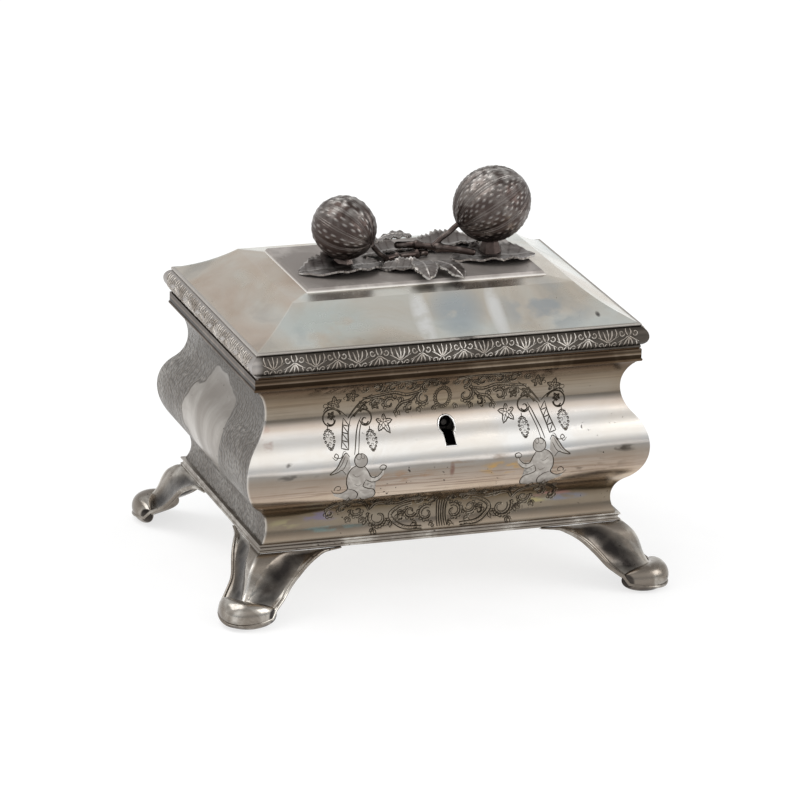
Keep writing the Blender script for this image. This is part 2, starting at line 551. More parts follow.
def curl(x, z, radius, start, sweep, close=0.25, steps=18, thick=1.0):
    """A scroll that winds inwards round (x, z), from a start angle through a sweep, in degrees."""
    made = []
    for number in range(steps + 1):
        share = number / steps
        angle = math.radians(start + sweep * share)
        reach = radius * (1 - (1 - close) * share)
        made.append((x + reach * math.cos(angle), z + reach * math.sin(angle), thick * (1 - 0.45 * share)))
    return made


def bend_line(points, thick=1.0, steps=7):
    """A smooth line through (x, z) points, thin at both ends."""
    points = [Vector(point) for point in points]
    whole = [points[0] * 2 - points[1]] + points + [points[-1] * 2 - points[-2]]
    made = []
    count = len(points) - 1
    for number in range(count):
        a, b, c, d = whole[number:number + 4]
        for step in range(steps + (number == count - 1)):
            t = step / steps
            spot = 0.5 * ((2 * b) + (c - a) * t + (2 * a - 5 * b + 4 * c - d) * t ** 2 + (3 * b - a - 3 * c + d) * t ** 3)
            share = (number + t) / count
            made.append((spot.x, spot.y, thick * (0.45 + 0.55 * math.sin(math.pi * min(1, share * 1.1)) ** 0.6)))
    return made


def petals(x, z, length, heading, count=5, spread=110, thick=0.9):
    """A fan of comma strokes, as a graver cuts a leaf."""
    made = []
    for number in range(count):
        share = number / (count - 1) - 0.5
        angle = math.radians(heading + spread * share)
        reach = length * (1 - 0.8 * share * share)
        bow = math.radians(28) * (1 if share > 0 else -1)
        tip = (x + reach * math.cos(angle), z + reach * math.sin(angle))
        middle = (x + 0.55 * reach * math.cos(angle + bow), z + 0.55 * reach * math.sin(angle + bow))
        made.append(bend_line([(x, z), middle, tip], thick, 4))
        other = (x + 0.5 * reach * math.cos(angle - bow * 0.8), z + 0.5 * reach * math.sin(angle - bow * 0.8))
        made.append(bend_line([tip, other, (x, z)], thick * 0.6, 4))
    return made


def vine_leaf(x, z, size, heading):
    """A five-lobed vine leaf: a toothed outline with a vein to each lobe."""
    outline = []
    for number in range(71):
        angle = math.radians(-165 + 330 * number / 70)
        lobe = 1 - abs(math.sin(angle * 2.5))
        reach = size * (0.48 + 0.52 * lobe ** 0.75) * (1 - 0.1 * abs(angle)) + 0.13 * math.cos(angle * 26)
        way = angle + math.radians(heading)
        outline.append((x + reach * math.cos(way), z + reach * math.sin(way), 1.15))
    made = [outline]
    for lobe in range(5):
        way = math.radians(heading + (lobe - 2) * 72)
        reach = size * 0.8 * (1 - 0.12 * abs(lobe - 2))
        made.append(bend_line([(x, z), (x + reach * math.cos(way), z + reach * math.sin(way))], 0.8, 3))
        for aside in (-26, 26):
            turn = way + math.radians(aside)
            made.append(bend_line([(x + reach * 0.3 * math.cos(way), z + reach * 0.3 * math.sin(way)), (x + reach * 0.75 * math.cos(turn), z + reach * 0.75 * math.sin(turn))], 0.55, 2))
    return made


def grapes(x, z, wide, tall):
    """A hanging bunch, drawn as a bead at each grape round its outline."""
    made = [bend_line([(x, z + tall * 0.75), (x, z + tall * 0.5)], 1.0, 3)]
    for number in range(16):
        angle = 2 * math.pi * number / 16 + 0.2
        low = max(0.0, -math.sin(angle))
        reach = wide / 2 * (1 - 0.45 * low)
        made.append(curl(x + reach * math.cos(angle), z + tall / 2 * math.sin(angle), 0.33, 0, 350, 0.9, 7, 1.15))
    for across, level in ((-0.15, 0.2), (0.18, 0.05), (-0.05, -0.2), (0.1, 0.32)):
        made.append(curl(x + across * wide, z + level * tall, 0.5, 0, 330, 0.8, 7, 0.6))
    return made


def trellis(start, end, wide, rungs):
    """Two rails with crossed rungs between them."""
    a, b = Vector(start), Vector(end)
    side = Vector((-(b - a).y, (b - a).x)).normalized() * wide / 2
    made = [bend_line([tuple(a + side), tuple((a + b) / 2 + side * 0.8), tuple(b + side)], 1.0), bend_line([tuple(a - side), tuple((a + b) / 2 - side * 0.8), tuple(b - side)], 1.0)]
    for number in range(rungs):
        low, high = a + (b - a) * number / rungs, a + (b - a) * (number + 1) / rungs
        made.append(bend_line([tuple(low + side), tuple(low - side)], 0.8, 3))
        made.append(bend_line([tuple(low - side), tuple(high + side)], 0.7, 3))
    return made


def winged_child():
    """A small winged child kneeling on the leaves, who lifts a cup; drawn for the left of the front."""
    made = [curl(-32.6, 33.4, 2.4, 100, 350, 0.97, 20, 1.1), curl(-33.2, 34.4, 1.3, 40, 300, 0.4, 10, 0.6), curl(-31.7, 34.6, 0.9, 120, 300, 0.4, 9, 0.6)]
    made += [
        bend_line([(-36.6, 34.8), (-37.8, 36.2), (-39.6, 34.4), (-41.4, 31.6), (-43.9, 29.4), (-41.4, 29.9), (-39.6, 30.6), (-38.2, 29.0)], 1.2),
        bend_line([(-38.2, 35.2), (-39.8, 32.4), (-41.6, 30.4)], 0.7), bend_line([(-37.4, 34.0), (-38.6, 31.6), (-39.8, 30.4)], 0.7),
        bend_line([(-34.4, 31.8), (-36.2, 30.9), (-37.6, 28.6), (-37.8, 25.6), (-37.2, 23.2), (-39.4, 21.6), (-41.8, 21.9), (-43.0, 23.2)], 1.1),
        bend_line([(-31.4, 31.4), (-30.2, 29.6), (-29.0, 27.4), (-27.2, 27.2), (-25.6, 28.4), (-24.8, 29.9)], 1.1),
        bend_line([(-30.8, 26.4), (-28.6, 25.3), (-26.4, 25.8), (-24.9, 27.4)], 1.0),
        bend_line([(-26.0, 30.6), (-24.9, 31.3), (-23.6, 30.8), (-24.2, 29.6), (-25.6, 29.7), (-26.0, 30.6)], 1.0),
        bend_line([(-30.9, 26.2), (-31.6, 24.0), (-29.6, 22.8), (-27.6, 22.2), (-26.6, 20.2), (-27.4, 18.4), (-29.6, 18.2)], 1.1),
        bend_line([(-36.9, 23.2), (-34.6, 22.4), (-33.0, 20.6), (-33.4, 18.4), (-35.8, 17.6)], 1.0),
        bend_line([(-35.8, 29.0), (-34.4, 27.8), (-32.8, 28.2)], 0.5), bend_line([(-34.9, 25.0), (-33.4, 24.2), (-32.2, 24.8)], 0.5),
        curl(-40.6, 23.6, 1.4, 200, -320, 0.4, 12, 0.9),
    ]
    return made


def vine():
    """The left vine: two great curls over a trellis and a plain trunk, with leaves and bunches."""
    made = [[(x, z, thick * 1.35) for x, z, thick in stroke] for stroke in trellis((-38.0, 37.4), (-35.6, 46.4), 2.6, 4)]
    made += [
        bend_line([(-34.8, 35.4), (-33.6, 39.6), (-31.8, 44.2), (-30.4, 46.6)], 1.2), bend_line([(-33.4, 35.6), (-32.2, 40.2), (-30.6, 44.4), (-29.4, 46.2)], 1.0),
        bend_line([(-35.2, 46.4), (-33.0, 49.2), (-30.4, 52.0), (-26.6, 54.6)], 1.8), bend_line([(-34.4, 46.2), (-31.8, 48.6), (-29.2, 50.8), (-24.8, 53.2)], 1.4),
        curl(-41.4, 46.6, 3.9, 20, 330, 0.42, 26, 1.9), curl(-29.4, 45.8, 3.7, 165, -330, 0.42, 26, 1.9),
        curl(-41.3, 46.0, 1.5, 200, 300, 0.5, 12, 1.5), curl(-29.2, 45.4, 1.4, -20, -300, 0.5, 12, 1.5),
        curl(-43.4, 51.2, 1.3, -60, 330, 0.3, 12, 0.9), curl(-36.4, 53.6, 1.1, -60, 330, 0.3, 12, 0.9),
        bend_line([(-44.0, 49.2), (-42.4, 50.8), (-38.4, 49.4), (-35.4, 47.0)], 1.4),
        bend_line([(-42.8, 35.2), (-41.6, 34.2), (-40.6, 35.4), (-41.4, 36.2), (-42.0, 35.2), (-39.8, 34.8), (-38.6, 36.6), (-37.8, 36.8)], 0.9),
    ]
    made += vine_leaf(-40.0, 52.0, 3.0, 100) + vine_leaf(-34.0, 54.2, 2.9, 80) + vine_leaf(-30.2, 50.4, 2.5, -30) + vine_leaf(-22.6, 44.2, 3.7, -60) + vine_leaf(-25.4, 50.4, 1.9, -50)
    made += vine_leaf(-41.3, 47.6, 1.7, 60) + grapes(-42.8, 40.4, 3.5, 5.6) + grapes(-27.8, 39.2, 3.3, 5.8)
    return made


def hatch(outer, inner, gap):
    """Short slanting cuts between two lines, which shade a ribbon."""
    made = []
    last = 0
    for number in range(1, len(outer) - 1):
        if math.dist(outer[number][:2], outer[last][:2]) > gap:
            last = number
            near = inner[min(number + 1, len(inner) - 1)]
            x, z = outer[number][0] * 0.35 + near[0] * 0.65, outer[number][1] * 0.35 + near[1] * 0.65
            made.append([(near[0], near[1], 0.75), (x, z, 0.6), ((outer[number][0] + x) / 2, (outer[number][1] + z) / 2, 0.3)])
    return made


def ribbon(points, wide):
    """A stem with two edges, shaded along one of them."""
    middle = bend_line(points, 1.0, 6)
    edges = [[], []]
    for number, (x, z, thick) in enumerate(middle):
        before, after = middle[max(0, number - 1)], middle[min(len(middle) - 1, number + 1)]
        along = Vector((after[0] - before[0], after[1] - before[1])).normalized()
        half = wide / 2 * (0.35 + 0.65 * thick)
        edges[0].append((x - along.y * half, z + along.x * half, 1.6))
        edges[1].append((x + along.y * half, z - along.x * half, 1.1))
    return edges + hatch(edges[1], edges[0], 0.8)


def leafy_scroll(x, z, radius, start, sweep, wide):
    """A scroll of acanthus: a shaded ribbon that winds inwards, with lobes along its outer edge."""
    outer = curl(x, z, radius, start, sweep, 0.3, 30, 2.0)
    inner = curl(x, z, radius - wide, start, sweep * 0.96, 0.3, 30, 1.2)
    made = [outer, inner] + hatch(inner, outer, 0.75)
    count = max(4, int(radius * 2.6))
    for number in range(count):
        share = (number + 0.5) / count * 0.62
        angle = start + sweep * share
        reach = radius * (1 - 0.7 * share) + 0.42
        spot = (x + reach * math.cos(math.radians(angle)), z + reach * math.sin(math.radians(angle)))
        made.append(curl(spot[0], spot[1], 0.62, angle - 100, 200, 0.8, 5, 1.35))
    return made


def crest():
    """One half of the crest, to the left of the medallion."""
    made = ribbon([(-9.6, 54.0), (-14.0, 53.2), (-18.6, 54.4), (-24.0, 53.8), (-30.0, 53.0)], 1.0)
    made += ribbon([(-3.6, 58.2), (-9.6, 59.6), (-16.4, 59.3), (-23.0, 58.9)], 0.8) + ribbon([(-10.4, 53.6), (-12.2, 51.2), (-15.8, 50.2), (-17.8, 48.0)], 0.9)
    for x, z, radius, start, sweep, wide in (
        (-7.6, 51.4, 3.0, 110, 330, 0.95), (-12.8, 48.4, 1.7, 60, 330, 0.6), (-7.0, 56.5, 2.1, -80, -330, 0.75), (-20.2, 50.4, 2.6, 30, 340, 0.9),
        (-13.4, 56.4, 2.2, 150, -330, 0.75), (-19.4, 56.7, 2.0, 30, 330, 0.7), (-25.2, 51.0, 1.7, 60, 330, 0.6), (-25.0, 56.5, 1.9, 150, -330, 0.7),
    ):
        made += leafy_scroll(x, z, radius, start, sweep, wide)
    for x, z, length, heading in (
        (-3.4, 55.8, 2.6, 100), (-10.4, 55.6, 2.4, 120), (-16.4, 55.6, 2.6, 90), (-22.2, 55.0, 2.4, 100), (-15.8, 52.4, 2.4, 250), (-17.2, 47.8, 2.4, 250),
        (-23.0, 52.6, 2.2, 250), (-29.0, 56.0, 2.6, 130), (-9.6, 48.4, 2.2, 290), (-4.2, 48.4, 2.0, 300),
    ):
        made += petals(x, z, length, heading, 3, 80, 0.95)
    return made


def medallion():
    made = []
    for number in range(22):
        angle = 2 * math.pi * number / 22
        made.append(curl(-0.8 + 3.0 * math.cos(angle), 51.3 + 3.7 * math.sin(angle), 0.42, 0, 350, 0.9, 7, 1.1))
    made.append([(-0.8 + 2.2 * math.cos(a / 5), 51.3 + 2.9 * math.sin(a / 5), 1.1) for a in range(33)])
    made += [curl(-0.8 - 1.0, 56.6, 1.0, -60, 300, 0.3, 12, 1.0), curl(-0.8 + 1.0, 56.6, 1.0, 240, -300, 0.3, 12, 1.0)]
    return made + petals(-0.8, 56.4, 2.6, 90, 5, 120)


def leaf_band():
    """One half of the lower band, to the left of the fluted bar."""
    made = ribbon([(-11.0, 13.2), (-15.2, 12.0), (-18.2, 9.2), (-16.6, 6.2), (-13.0, 4.2), (-7.0, 3.8)], 1.3)
    made += ribbon([(-26.2, 12.0), (-24.2, 14.6), (-20.0, 14.4), (-16.4, 13.6), (-12.0, 15.2), (-6.0, 15.2)], 1.1)
    made += ribbon([(-42.6, 13.4), (-38.0, 16.6), (-33.2, 16.6), (-28.6, 14.8), (-26.2, 11.6)], 1.0)
    for x, z, radius, start, sweep, wide in (
        (-5.0, 8.4, 3.3, 60, 380, 1.15), (-10.9, 9.6, 2.6, -20, -360, 0.95), (-22.6, 8.4, 3.9, 150, 320, 1.3), (-30.6, 11.6, 2.5, 160, 340, 0.9),
        (-36.2, 13.2, 2.1, 20, 340, 0.8), (-40.6, 11.6, 1.5, 120, 330, 0.55), (-3.2, 13.2, 1.5, 180, -320, 0.55), (-14.4, 7.6, 1.6, 40, 320, 0.55),
    ):
        made += leafy_scroll(x, z, radius, start, sweep, wide)
    for x, z, length, heading in (
        (-8.0, 12.8, 3.0, 110), (-13.6, 10.0, 2.8, 220), (-18.0, 7.0, 3.2, 215), (-27.2, 8.0, 2.8, 200), (-24.6, 4.6, 2.4, 250), (-20.4, 13.4, 3.2, 60),
        (-25.0, 15.0, 3.0, 110), (-31.2, 15.8, 3.0, 100), (-36.0, 16.6, 2.8, 90), (-39.8, 15.6, 2.4, 130), (-33.4, 9.4, 2.4, 240), (-15.0, 15.0, 2.8, 80),
        (-10.0, 15.8, 2.6, 100), (-28.4, 9.0, 2.2, 230), (-8.6, 5.0, 2.6, 190), (-2.6, 4.8, 2.0, 200),
    ):
        made += petals(x, z, length, heading, 3, 80, 1.15)
    return made


def across(strokes):
    return [[(-x, z, thick) for x, z, thick in stroke] for stroke in strokes]


CUT, LINE_LIFT, LINE_FLAT = 0.17, 0.03, 0.3


def engrave(name, strokes, material, carry, slot="chased_front", cut=CUT, lift=LINE_LIFT, flat=LINE_FLAT):
    """All strokes as thin flat lines, laid on a wall."""
    lines = bpy.data.curves.new(name, "CURVE")
    lines.dimensions = "3D"
    lines.bevel_depth = cut * MM
    lines.bevel_resolution = 0
    for stroke in strokes:
        spline = lines.splines.new("POLY")
        spline.points.add(len(stroke) - 1)
        for point, (x, z, thick) in zip(spline.points, stroke):
            point.co = (x * MM, 0, z * MM, 1)
            point.radius = thick
    holder = bpy.data.objects.new(name, lines)
    bpy.context.scene.collection.objects.link(holder)
    bpy.context.view_layer.update()
    mesh = bpy.data.meshes.new_from_object(holder.evaluated_get(bpy.context.evaluated_depsgraph_get()))
    bpy.data.objects.remove(holder)
    for vert in mesh.vertices:
        vert.co = carry(vert.co.x, vert.co.z, lift * MM - vert.co.y * flat)
    mesh.materials.clear()
    mesh.materials.append(material)
    made = bpy.data.objects.new(name, mesh)
    bpy.context.scene.collection.objects.link(made)
    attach(made, "lid" if slot == "stamped_border" else "box")
    return made


def matte_ground(name, outlines, material, carry):
    """Closed outlines of (x, z) points, roughened all over: thin flat patches laid on a wall."""
    bm = bmesh.new()
    for outline in outlines:
        loop = [bm.verts.new((x * MM, 0, z * MM)) for x, z in outline]
        bm.faces.new(loop)
    bmesh.ops.triangulate(bm, faces=bm.faces)
    for level in range(4, 64):
        geometry = list(bm.verts) + list(bm.edges) + list(bm.faces)
        bmesh.ops.bisect_plane(bm, geom=geometry, plane_co=(0, 0, level * MM), plane_no=(0, 0, 1), dist=1e-6)
    for step in range(-30, 31):
        geometry = list(bm.verts) + list(bm.edges) + list(bm.faces)
        bmesh.ops.bisect_plane(bm, geom=geometry, plane_co=(step * 1.5 * MM, 0, 0), plane_no=(1, 0, 0), dist=1e-6)
    back = bmesh.ops.extrude_face_region(bm, geom=list(bm.faces))["geom"]
    back = {item for item in back if isinstance(item, bmesh.types.BMVert)}
    for vert in bm.verts:
        vert.co = carry(vert.co.x, vert.co.z, -0.04 * MM if vert in back else 0.03 * MM)
    bmesh.ops.recalc_face_normals(bm, faces=bm.faces)
    return to_object(bm, name, material, "box")


cut_silver = silver("cut_silver", (0.11, 0.09, 0.065), (0.045, 0.035, 0.025), 120, 0.6, 0.4, 0.3, 0.05)
on_front = lay_on(skin_of(front_wall.data))
left_half = vine() + winged_child()
scrolls = leaf_band() + crest()
scrolls += across(scrolls)
bars = [bend_line([(0.5 + (number - 2) * 0.95, 13.4), (0.5 + (number - 2) * 0.8, 8.6), (0.5 + (number - 2) * 0.9, 3.6)], 2.0) for number in range(5)]
engrave("front_engraving", left_half + across(left_half) + medallion() + bars, cut_silver, on_front)
engrave("front_scrolls", scrolls, cut_silver, on_front, cut=0.16)
burr_silver = silver("burr_silver", (0.58, 0.51, 0.42), (0.34, 0.28, 0.21), 120, 0.6, 0.3, 0.3, 0.05)
burrs = [[(x + 0.3, z - 0.26, thick * 0.75) for x, z, thick in stroke] for stroke in scrolls + bars]
engrave("front_burrs", burrs, burr_silver, on_front, cut=0.15, lift=0.015)

matte_silver = silver("matte_silver", (0.52, 0.49, 0.45), (0.36, 0.33, 0.30), 260, 0.5, 0.3, 0.36, 0.5)
child_outlines = [
    [(-32.6 + 2.3 * math.cos(math.radians(a)), 33.4 + 2.3 * math.sin(math.radians(a))) for a in range(0, 360, 20)],
    [(-36.8, 34.6), (-37.8, 36.0), (-39.6, 34.3), (-41.4, 31.6), (-43.7, 29.5), (-41.2, 30.0), (-39.6, 30.6), (-38.0, 29.4), (-36.4, 31.4)],
    [
        (-34.6, 32.0), (-36.4, 30.8), (-37.7, 28.4), (-37.8, 25.4), (-37.4, 22.8), (-40.0, 21.4), (-42.2, 22.2), (-41.6, 20.6),
        (-38.0, 19.0), (-36.0, 17.4), (-33.0, 18.2), (-29.6, 17.8), (-26.6, 18.6), (-26.8, 20.8), (-28.0, 22.4), (-30.6, 23.4),
        (-30.9, 25.8), (-28.6, 25.2), (-26.2, 25.7), (-24.6, 27.8), (-24.4, 29.6), (-25.6, 28.6), (-27.4, 27.3), (-29.3, 27.8),
        (-30.4, 29.8), (-31.6, 31.6),
    ],
]
mirrored = [[(-x, z) for x, z in outline] for outline in child_outlines]
matte_ground("matte_figures", child_outlines + mirrored, matte_silver, on_front)

lip_silver = silver("worn_lip_silver", (0.97, 0.96, 0.94), (0.85, 0.82, 0.78), 60, 0.3, 0.2, 0.12, 0.05)
lip = [(x / MM, (z - BASE) / MM, 1.0) for x, z in keyhole_outline(0.25 * MM)]
engrave("keyhole_lip", [lip + lip[:2]], lip_silver, on_front, cut=0.34, lift=0.02, flat=0.4)

# The lid's sheet: four hollow slopes hipped together up to a crease, then a nearly level shoulder
# round the flat crown. Handling has left soft dents along its front edge.
LEDGE, CREASE, CROWN = (1.0, 73.9), (18.7, 84.8), (26.0, 85.5)
FLARE, LID_SHEET = 62.0, 0.9


def lid_profile(steps=30):
    """The lid's upper face as (inset, height) points from the edge to the crown, in millimetres."""
    start, end = Vector(LEDGE), Vector(CREASE)
    chord = end - start
    middle = (start + end) / 2
    rise = math.sqrt(FLARE ** 2 - (chord.length / 2) ** 2)
    centre = middle + Vector((-chord.y, chord.x)).normalized() * rise
    first = math.atan2(start.y - centre.y, start.x - centre.x)
    last = math.atan2(end.y - centre.y, end.x - centre.x)
    made = []
    for number in range(steps + 1):
        angle = first + (last - first) * number / steps
        made.append((centre.x + FLARE * math.cos(angle), centre.y + FLARE * math.sin(angle)))
    for number in range(1, 9):
        share = number / 8
        made.append((CREASE[0] + (CROWN[0] - CREASE[0]) * share, CREASE[1] + (CROWN[1] - CREASE[1]) * share))
    return made


LID_STAINS = [
    ((6, 80), (11, 7), (0.46, 0.53, 0.57), 0.75), ((38, 79), (19, 7), (0.44, 0.49, 0.52), 0.7), ((-40, 79), (20, 6), (0.66, 0.74, 0.72), 0.6),
    ((-7, 79), (3.8, 8), (0.97, 0.97, 0.95), 0.95), ((20, 79), (3.2, 8), (0.97, 0.97, 0.95), 0.9), ((56, 76.4), (1.0, 0.8), (0.06, 0.05, 0.05), 0.9),
]


def lid_clouds(tree, colour):
    """Cold grey and green clouds on the front slope, warm grey on the left one."""
    where = add_node(tree, "ShaderNodeTexCoord").outputs["Object"]
    flow = add_node(tree, "ShaderNodeTexNoise", {"Vector": where, "Scale": 22.0, "Detail": 5.0, "Distortion": 0.8}).outputs["Fac"]
    tints = ramp(tree, flow, [
        (0.30, (0.60, 0.67, 0.70)), (0.44, (0.86, 0.89, 0.87)), (0.56, (0.82, 0.78, 0.72)), (0.70, (0.60, 0.58, 0.54)),
    ])
    part = add_node(tree, "ShaderNodeSeparateXYZ", {"Vector": where})
    from_side = math_node(tree, "ADD", part.outputs["X"], HALF_LENGTH)
    from_front = math_node(tree, "SUBTRACT", HALF_WIDTH, math_node(tree, "ABSOLUTE", part.outputs["Y"]))
    nearer = math_node(tree, "SUBTRACT", from_front, from_side)
    leftmost = add_node(tree, "ShaderNodeMapRange", {"Value": nearer, "From Min": -0.5 * MM, "From Max": 1.5 * MM}).outputs[0]
    tints = mix(tree, leftmost, tints, mix(tree, 1.0, tints, (0.76, 0.68, 0.63), "MULTIPLY"))
    colour = mix(tree, 1.0, colour, tints, "MULTIPLY")
    for place, reach, tone, amount in LID_STAINS:
        colour = stain(tree, colour, place, reach, tone, amount, (60, 60, 90), 0.85)
    return colour


lid_silver = silver("lid_silver", (0.92, 0.91, 0.88), (0.78, 0.73, 0.66), 20, 0.4, 0.3, 0.2, 0.15, tint=lid_clouds)
slopes = bmesh.new()
for half, reach, turn in ((HALF_WIDTH, HALF_LENGTH, 0), (HALF_WIDTH, HALF_LENGTH, 180), (HALF_LENGTH, HALF_WIDTH, -90), (HALF_LENGTH, HALF_WIDTH, 90)):
    upper = lid_profile()
    lower = [(inset, height - LID_SHEET) for inset, height in upper]
    bm = sheet_bar([(inset * MM - half, BASE + height * MM) for inset, height in upper + lower[::-1]], -reach, reach, 90)
    for side in (-1, 1):
        cut_end(bm, (side * reach, -half, 0), (side, 1, 0))
    ends = [face for face in bm.faces if abs(face.normal.x) > 0.65 and abs(face.normal.y) > 0.65]
    crown = [face for face in bm.faces if face.normal.y > 0.98]
    bmesh.ops.delete(bm, geom=ends + crown, context="FACES")
    bmesh.ops.rotate(bm, verts=bm.verts, cent=(0, 0, 0), matrix=Matrix.Rotation(math.radians(turn), 3, "Z"))
    piece = bpy.data.meshes.new("slope")
    bm.to_mesh(piece)
    bm.free()
    slopes.from_mesh(piece)
    bpy.data.meshes.remove(piece)
bmesh.ops.remove_doubles(slopes, verts=slopes.verts, dist=0.02 * MM)
for level in (CROWN[1], CROWN[1] - LID_SHEET):
    rim = [edge for edge in slopes.edges if len(edge.link_faces) == 1 and all(abs(v.co.z - BASE - level * MM) < 0.05 * MM for v in edge.verts)]
    bmesh.ops.contextual_create(slopes, geom=rim)
bmesh.ops.recalc_face_normals(slopes, faces=slopes.faces)
for vert in slopes.verts:
    low = 1 - min(1.0, (vert.co.z - BASE - LEDGE[1] * MM) / (10 * MM))
    push = noise.noise(Vector((vert.co.x * 40, vert.co.y * 40, 2.0))) + 0.5 * noise.noise(Vector((vert.co.x * 95, vert.co.y * 95, 7.0)))
    fade = min(1.0, (vert.co.z - BASE - (LEDGE[1] - LID_SHEET) * MM) / (2.5 * MM))
    vert.co.z += push * 0.22 * MM * max(0.0, fade) * max(0.3, low) * (0 if vert.co.z > BASE + CREASE[1] * MM else 1)
soften(slopes, 14)
lid_sheet = to_object(slopes, "lid_sheet", lid_silver, "lid")
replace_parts(lid_sheet, "lid_shell")

# The lid's border is stamped with a running frieze: a running stem with a spray of three leaves and two curls at each bend,
# in low relief on the half round.
BULGE_MIDDLE, FRIEZE_HALF = 69.4, 3.4


def frieze_motif(middle, flip):
    made = [bend_line([(-3.8, -1.1 * flip), (-1.9, -0.1 * flip), (0, 0.9 * flip), (1.9, -0.1 * flip), (3.8, -1.1 * flip)], 1.5, 3)]
    for side in (-1, 0, 1):
        made.append(bend_line([(0.15 * side, 0.5 * flip), (1.1 * side, -0.8 * flip), (1.7 * side, (-2.7 - 0.3 * (side == 0)) * flip)], 2.3, 4))
    for side in (-1, 1):
        made.append(curl(2.5 * side, 1.9 * flip, 1.05, 200 if side > 0 else -20, 320 * side * flip, 0.4, 10, 1.5))
        made.append(bend_line([(0.3 * side, 1.2 * flip), (0.9 * side, 2.1 * flip), (0.8 * side, 3.1 * flip)], 1.9, 3))
        made.append(bend_line([(2.6 * side, -0.6 * flip), (3.2 * side, -1.9 * flip), (3.1 * side, -3.0 * flip)], 1.9, 3))
    return [[(x + middle, z, thick) for x, z, thick in stroke] for stroke in made]


frieze_silver = silver("raised_frieze_silver", (0.66, 0.62, 0.57), (0.34, 0.30, 0.26), 80, 0.5, 0.4, 0.26, 0.05)
PITCH = 7.6
border_skin = skin_of(frame["nodes"]["lid_border"].data)
for name, run, turn in (
    ("front_frieze", HALF_LENGTH, 0), ("back_frieze", HALF_LENGTH, 180), ("left_frieze", HALF_WIDTH, -90), ("right_frieze", HALF_WIDTH, 90),
):
    count = int((2 * run / MM - 2) / PITCH)
    strokes = []
    for number in range(count):
        strokes += frieze_motif((number - (count - 1) / 2) * PITCH, 1 if number % 2 else -1)
    strokes = [[(x, BULGE_MIDDLE + max(-FRIEZE_HALF, min(FRIEZE_HALF, z)), thick) for x, z, thick in stroke] for stroke in strokes]
    engrave(name, strokes, frieze_silver, lay_on(border_skin, turn), "stamped_border", 0.19, 0.05, 0.9)

# The four cast feet. Each spreads from its corner in two fluted wings with a rib between them and a
# bead along their edge, sweeps out, and curls up at the floor in a rounded scroll.
SPINE = [
    # outward, height, half width, fall-away of the wings
    (-4.9, 22.5, 20.9, 1.0), (-3.2, 22.0, 17.4, 1.0), (-1.2, 20.8, 16.0, 1.0), (0.6, 19.3, 14.9, 1.0), (1.9, 17.6, 13.9, 1.0),
    (2.9, 15.6, 12.9, 1.0), (3.7, 13.6, 11.9, 1.0), (4.6, 11.8, 11.2, 1.0), (5.7, 10.2, 10.9, 0.98), (6.9, 8.8, 10.8, 0.93), (8.0, 7.2, 10.5, 0.80), (9.0, 5.6, 10.2, 0.62),
]
TOE_OUT, TOE_UP, TOE_RADIUS, TOE_HALF = 9.0, 4.75, 4.9, 10.4
FOOT_SHEET, FLUTE_DEPTH, EDGE_BEAD = 1.2, 1.25, 0.75


def along_spine(share):
    """Smoothly between the stations of the spine."""
    place = min(max(share, 0.0), 1.0) * (len(SPINE) - 1)
    number = min(int(place), len(SPINE) - 2)
    t = place - number
    rows = [SPINE[max(0, min(len(SPINE) - 1, number + step))] for step in (-1, 0, 1, 2)]
    return [0.5 * (2 * b + (c - a) * t + (2 * a - 5 * b + 4 * c - d) * t * t + (3 * b - a - 3 * c + d) * t ** 3) for a, b, c, d in zip(*rows)]


def foot_place(share, side, sunk=0.0):
    """A point of the foot: down the spine by a share, and across it from -1 to 1."""
    out, level, half, fall = along_spine(share)
    low = along_spine(share + 0.02)
    down = Vector((low[0] - out, low[1] - level)).normalized()
    spread = half * side
    return Vector((out - fall * abs(spread) + down.y * sunk, spread, level - down.x * sunk * 0.6))


def from_corner(point):
    """From (outward, across, height) at a corner to the front right corner of the box."""
    root = math.sqrt(0.5)
    return Vector(((point.x + point.y) * root, (point.y - point.x) * root, point.z)) * MM + Vector((HALF_LENGTH, -HALF_WIDTH, 0))


def flute(share, side):
    """How deep the flute is sunk, from 0 to 1."""
    rib = 0.40 - 0.30 * min(1, share * 1.25)
    edge = 0.90
    if not rib < side < edge:
        return 0.0
    return math.sin(math.pi * (side - rib) / (edge - rib)) ** 0.45


def dark_flutes(tree, colour):
    hollow = add_node(tree, "ShaderNodeAttribute", attribute_name="hollow").outputs["Fac"]
    where = add_node(tree, "ShaderNodeTexCoord").outputs["Object"]
    grime = add_node(tree, "ShaderNodeTexNoise", {"Vector": where, "Scale": 160.0, "Detail": 4.0}).outputs["Fac"]
    share = math_node(tree, "MULTIPLY", hollow, math_node(tree, "ADD", grime, 0.45), clamp=True)
    colour = mix(tree, share, colour, (0.03, 0.026, 0.024))
    low = add_node(tree, "ShaderNodeSeparateXYZ", {"Vector": where}).outputs["Z"]
    low = add_node(tree, "ShaderNodeMapRange", {"Value": low, "From Min": 4.5 * MM, "From Max": 1.0 * MM}).outputs[0]
    patchy = add_node(tree, "ShaderNodeMapRange", {"Value": grime, "From Min": 0.42, "From Max": 0.55}).outputs[0]
    colour = mix(tree, math_node(tree, "MULTIPLY", math_node(tree, "MULTIPLY", low, patchy), 0.85), colour, (0.05, 0.04, 0.035))
    worn = add_node(tree, "ShaderNodeAttribute", attribute_name="worn").outputs["Fac"]
    return mix(tree, math_node(tree, "MULTIPLY", worn, 0.8), colour, (0.80, 0.77, 0.72))


foot_silver = silver("cast_foot_silver", (0.60, 0.57, 0.52), (0.22, 0.19, 0.16), 60, 0.6, 0.6, 0.16, 0.15, tint=dark_flutes)


